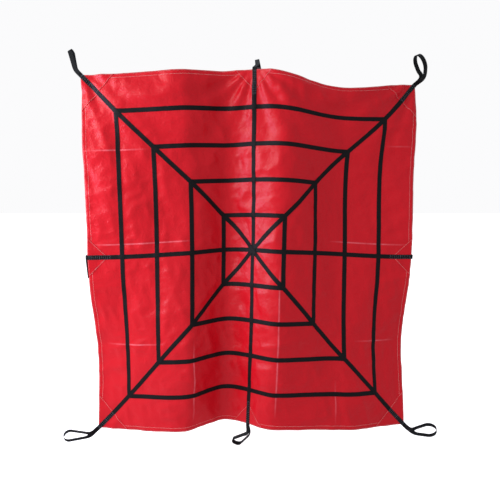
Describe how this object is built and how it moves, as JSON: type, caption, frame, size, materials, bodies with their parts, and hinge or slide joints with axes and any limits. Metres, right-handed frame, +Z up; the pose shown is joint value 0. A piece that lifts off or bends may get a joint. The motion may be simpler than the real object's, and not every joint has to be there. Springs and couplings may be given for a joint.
{
  "type": "lifting tarp",
  "caption": "Square coated lifting tarp with a spider-web of sewn webbing straps and webbing loops at its corners and sides, hung by its top loops.",
  "frame": {"origin": "inside the far end of the top middle loop, where a hook carries it", "axes": "+Z up as it hangs, +Y to the back of the tarp, +X to the right seen from the webbed front"},
  "size_m": [3.3612, 0.629, 3.5001],
  "materials": {
    "coated_sheet": "satin",
    "webbing": "matte",
    "thread": "matte"
  },
  "bodies": {
    "tarp": {"tarp_sheet": "coated_sheet", "hem_right": "coated_sheet", "gusset_right": "coated_sheet", "hem_top": "coated_sheet", "gusset_top": "coated_sheet", "hem_left": "coated_sheet", "gusset_left": "coated_sheet", "hem_bottom": "coated_sheet", "gusset_bottom": "coated_sheet", "gusset_top_right": "coated_sheet", "gusset_top_left": "coated_sheet", "gusset_bottom_left": "coated_sheet", "gusset_bottom_right": "coated_sheet", "ring_1_strap_right": "webbing", "ring_1_strap_top": "webbing", "ring_1_strap_left": "webbing", "ring_1_strap_bottom": "webbing", "ring_2_strap_right": "webbing", "ring_2_strap_top": "webbing", "ring_2_strap_left": "webbing", "ring_2_strap_bottom": "webbing", "ring_3_strap_right": "webbing", "ring_3_strap_top": "webbing", "ring_3_strap_left": "webbing", "ring_3_strap_bottom": "webbing", "ring_4_strap_right": "webbing", "ring_4_strap_top": "webbing", "ring_4_strap_left": "webbing", "ring_4_strap_bottom": "webbing", "spoke_vertical": "webbing", "spoke_horizontal": "webbing", "spoke_rising": "webbing", "spoke_falling": "webbing", "loop_tail_top_left": "webbing", "loop_tail_top": "webbing", "loop_tail_top_right": "webbing", "loop_tail_left": "webbing", "loop_tail_right": "webbing", "loop_tail_bottom_left": "webbing", "loop_tail_bottom": "webbing", "loop_tail_bottom_right": "webbing", "hem_stitching": "thread", "gusset_stitching": "thread", "tack_stitching": "thread"},
    "loop_top_left": {"loop_top_left": "webbing"},
    "loop_top": {"loop_top": "webbing"},
    "loop_top_right": {"loop_top_right": "webbing"},
    "loop_left": {"loop_left": "webbing"},
    "loop_right": {"loop_right": "webbing"},
    "loop_bottom_left": {"loop_bottom_left": "webbing"},
    "loop_bottom": {"loop_bottom": "webbing"},
    "loop_bottom_right": {"loop_bottom_right": "webbing"}
  },
  "joints": [
    {"name": "loop_top_left_swing", "type": "hinge", "parent": "tarp", "child": "loop_top_left", "pos_m": [-1.51022, -0.19325, -0.19849], "axis": [-0.6963, 0.0222, -0.7174], "range_deg": [-128, 30]},
    {"name": "loop_top_swing", "type": "hinge", "parent": "tarp", "child": "loop_top", "pos_m": [-0.0248, -0.2635, -0.15801], "axis": [-0.9159, 0.401, 0.0171], "range_deg": [-140, 18]},
    {"name": "loop_top_right_swing", "type": "hinge", "parent": "tarp", "child": "loop_top_right", "pos_m": [1.41752, 0.02207, -0.23182], "axis": [-0.7105, -0.0435, 0.7023], "range_deg": [-57, 85]},
    {"name": "loop_left_swing", "type": "hinge", "parent": "tarp", "child": "loop_left", "pos_m": [-1.49121, -0.15284, -1.76521], "axis": [0.0241, 0.096, -0.9951], "range_deg": [-140, 18]},
    {"name": "loop_right_swing", "type": "hinge", "parent": "tarp", "child": "loop_right", "pos_m": [1.3988, -0.01538, -1.77117], "axis": [0.0324, -0.067, 0.9972], "range_deg": [-154, 4]},
    {"name": "loop_bottom_left_swing", "type": "hinge", "parent": "tarp", "child": "loop_bottom_left", "pos_m": [-1.449, -0.05011, -3.33183], "axis": [0.695, -0.0531, -0.7171], "range_deg": [-52, 106]},
    {"name": "loop_bottom_swing", "type": "hinge", "parent": "tarp", "child": "loop_bottom", "pos_m": [-0.08338, -0.22863, -3.24139], "axis": [0.7522, -0.659, 0.0011], "range_deg": [-94, 64]},
    {"name": "loop_bottom_right_swing", "type": "hinge", "parent": "tarp", "child": "loop_bottom_right", "pos_m": [1.34772, -0.04944, -3.31161], "axis": [0.6875, 0.1928, 0.7001], "range_deg": [-52, 106]}
  ]
}
